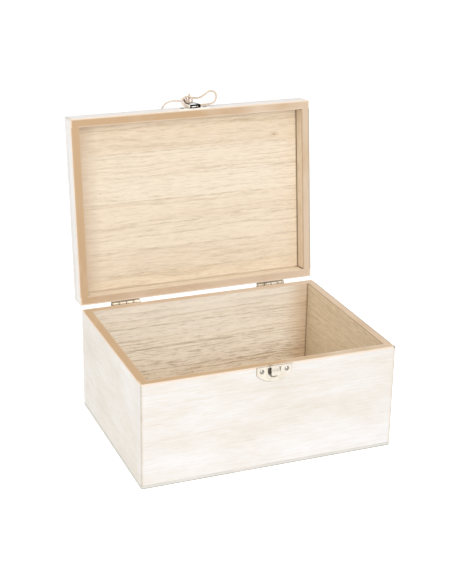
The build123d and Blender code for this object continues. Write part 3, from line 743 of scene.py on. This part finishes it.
def jute(name, deep, light_tone, overlay_tint):
    """Two-ply jute twine, spun and left unbleached: dull tan bast fibres, lighter on the crowns and brown in
    the lay. 22 fibres are drawn round the twine where real ones are some hundreds, so that they show."""
    material, tree = new_material(name)
    uv = add(tree, "ShaderNodeUVMap", uv_map="along")
    fibre = add(tree, NOISE, {
        "Vector": add(tree, MAPPING, {"Vector": uv, "Scale": (22, 1.4, 1)}), "Scale": 1.0, "Detail": 3.0,
    })
    patch = add(tree, NOISE, {"Vector": place_in_mm(tree, False), "Scale": 0.35, "Detail": 2.0})
    light = add(tree, MIX, {"Factor": fibre, "A": linear(deep), "B": linear(light_tone)}, data_type="RGBA")
    overlay_mask = add(tree, MATH, (patch, 0.6), operation="MULTIPLY")
    shader = add(tree, PRINCIPLED, {
        "Base Color": layered(tree, light, ((overlay_mask, overlay_tint),)), "Roughness": 0.9,
        "Normal": add(tree, BUMP, {"Height": fibre, "Strength": 0.5, "Distance": 0.0002}),
        "Specular IOR Level": 0.2,
    })
    add(tree, OUTPUT, {"Surface": shader})
    return material


# Long boards: planed paulownia of close, even growth, so cream with fine straight lines, and paler inside
# than the other boards as painted light
dress(("box_front_wall", "box_back_wall"), board(
    "whitewashed_paulownia_long_boards", False, "x", 17.6, 1.0, ring_mm=4.0, wild=0.45,
    pale="#fffaf0", deep="#faf1e1", figure=2.0, thin_wash="#e4dacc", long_board=True,
))
# Side boards: the same wood, bare inside and a deeper tan there as painted shade
dress(("box_left_wall", "box_right_wall"), board(
    "whitewashed_paulownia_side_boards", False, "y", 17.6, 5.0,
    pale="#dccbb0", deep="#d3c2a4", thick_wash="#f3f0eb", thin_wash="#e2d8ca",
))
# Base board: thin sawn paulownia, plain cream inside and washed at its edge
dress(("box_base_board",), board("whitewashed_thin_base_board", False, "panel", 5.0, 9.0))
# Lid rails and panel: the same boards under a thicker wash, so whiter outside. The panel is cut flat through
# wide growth, so its lines swing across it
dress(("lid_front_rail", "lid_back_rail"), board(
    "whitewashed_paulownia_lid_long_rails", True, "x", 0.0, 13.0, thick_wash="#f8f6f4", thin_wash="#eee6dd",
))
dress(("lid_left_rail", "lid_right_rail"), board(
    "whitewashed_paulownia_lid_side_rails", True, "y", 0.0, 17.0,
    pale="#ebd9c0", deep="#e2ceb1", thick_wash="#f6f4f2", thin_wash="#ece4dc",
))
dress(("lid_top_panel",), board(
    "whitewashed_paulownia_lid_panel", True, "panel", 1.6, 21.0, ring_mm=7.0, wild=0.6,
    pale="#f8ebd7", deep="#eedcc2", knot_at=(91.6, -58.8),
))
# Catch plate and pin: nickel that has kept its polish, so a soft mirror
dress(("catch_plate", "latch_pin"), metal(
    "bright_nickel_on_pressed_steel", "#dbd4c8", "#cfc6b7", 0.14, 0.16,
))
# Latch plate: nickel rubbed dull, so pale and even with no mirror in it, but for a painted dark reflection
# along its knuckle
dress(("latch_plate",), metal(
    "dulled_nickel_latch_plate", "#f0ede8", "#e4dfd7", 0.42, 0.16, True, knuckle_dark_reflection,
))
# Hasp: nickel worn a little by the fingers, so a blurred mirror, with painted shade in its slot and on its
# right knuckle
dress(("latch_hasp",), metal("worn_nickel_hasp", "#e6e1d8", "#d6cfc3", 0.22, 0.16, True, hasp_painted_shade))
# Hinges: nickel thin over a brassed ground, so warm, with brown in its patches and brown painted shade at its
# knuckles
dress((
    "hinge_left_box_leaf", "hinge_right_box_leaf", "hinge_left_lid_leaf", "hinge_right_lid_leaf",
    "hinge_pins",
), metal("pale_brass_toned_nickel_hinge", "#e4dac8", "#a8967a", 0.26, 0.2, False, hinge_knuckle_shade, "#4a3a29"))
# Screws: nickel on turned steel, small and spotted, and darker as a painted dark reflection. Brads: bare
# drawn wire, a soft grey
dress(("hinge_box_screws", "hinge_lid_screws", "catch_screws", "latch_screws"), metal(
    "nickel_plated_screws", "#b5b0a8", "#6f6b66", 0.22, 1.6,
))
dress(("base_brads",), metal("plain_drawn_steel_brads", "#a9a7a3", "#7d7b77", 0.4, 2.0))
# Twine: tan as spun, rubbed pale where it is handled, and a brown copy, painted shade, for the turn inside
# the knot
dress((loop, wrap, loop_hairs, knot_hairs), jute("two_ply_natural_jute", "#cbb195", "#f7ede1", "#d2b8a2"))
dress((tail, knot, tail_hairs), jute("two_ply_jute_rubbed_pale", "#d3c0ac", "#f8eee3", "#dcc8b8"))
dress((inner,), jute("two_ply_jute_shaded_in_the_knot", "#7d6550", "#a98f76", "#846a54"))

# Studio: a white floor that runs into a white surround, and soft light from above and the front
WHITE = (1, 1, 1, 1)
SURROUND_LIGHT = 0.56
FLOOR_GLOW = 0.52
FLOOR_REACH = 6.0
FLOOR_LEVEL = -0.0002


def plainly_seen(tree, elsewhere, seen):
    """The strength of a white: one as the camera and shiny or clear things see it, and another elsewhere."""
    path = add(tree, "ShaderNodeLightPath").outputs
    ray = add(tree, MATH, (path["Is Camera Ray"], path["Is Glossy Ray"]), operation="MAXIMUM")
    ray = add(tree, MATH, (ray, path["Is Transmission Ray"]), operation="MAXIMUM")
    return add(tree, MIX, {"Factor": ray, "A": elsewhere, "B": seen}, data_type="FLOAT")


world = bpy.data.worlds.new("white_studio")
bpy.context.scene.world = world
world.use_nodes = True
tree = world.node_tree
tree.nodes.clear()
sky = add(tree, "ShaderNodeBackground", {"Color": WHITE, "Strength": plainly_seen(tree, SURROUND_LIGHT, 1.0)})
add(tree, "ShaderNodeOutputWorld", {"Surface": sky})

corners = [(a * FLOOR_REACH, b * FLOOR_REACH, 0) for a, b in ((-1, -1), (1, -1), (1, 1), (-1, 1))]
floor_mesh = bpy.data.meshes.new("floor")
floor_mesh.from_pydata(corners, [], [(0, 1, 2, 3)])
floor = to_scene("floor", floor_mesh)
floor.location.z = FLOOR_LEVEL
# board painted matt white: even and without sheen, with a glow that brings it up to plain white
material, tree = new_material("white_floor")
matt = add(tree, "ShaderNodeBsdfDiffuse", {"Color": (0.86, 0.86, 0.86, 1)})
glow = add(tree, "ShaderNodeEmission", {"Color": WHITE, "Strength": plainly_seen(tree, 0.0, FLOOR_GLOW)})
add(tree, OUTPUT, {"Surface": add(tree, "ShaderNodeAddShader", (matt, glow))})
floor_mesh.materials.append(material)

# Square soft boxes: where each stands, its width in metres and its power in watts
LIT_PLACE = Vector((0, 0, 0.1))
for name, place, size, power in (
    ("key", (-0.2, -2.1, 1.35), 1.3, 26),
    ("fill", (-1.9, 0.1, 0.75), 0.8, 9),
    ("top", (0.0, -0.1, 2.2), 1.6, 9),
):
    data = bpy.data.lights.new(name, "AREA")
    data.shape = "SQUARE"
    data.size = size
    data.energy = power
    light = to_scene(name, data)
    light.location = place
    light.rotation_euler = (LIT_PLACE - Vector(place)).to_track_quat("-Z", "Y").to_euler()

bpy.context.scene.view_settings.view_transform = "Standard"
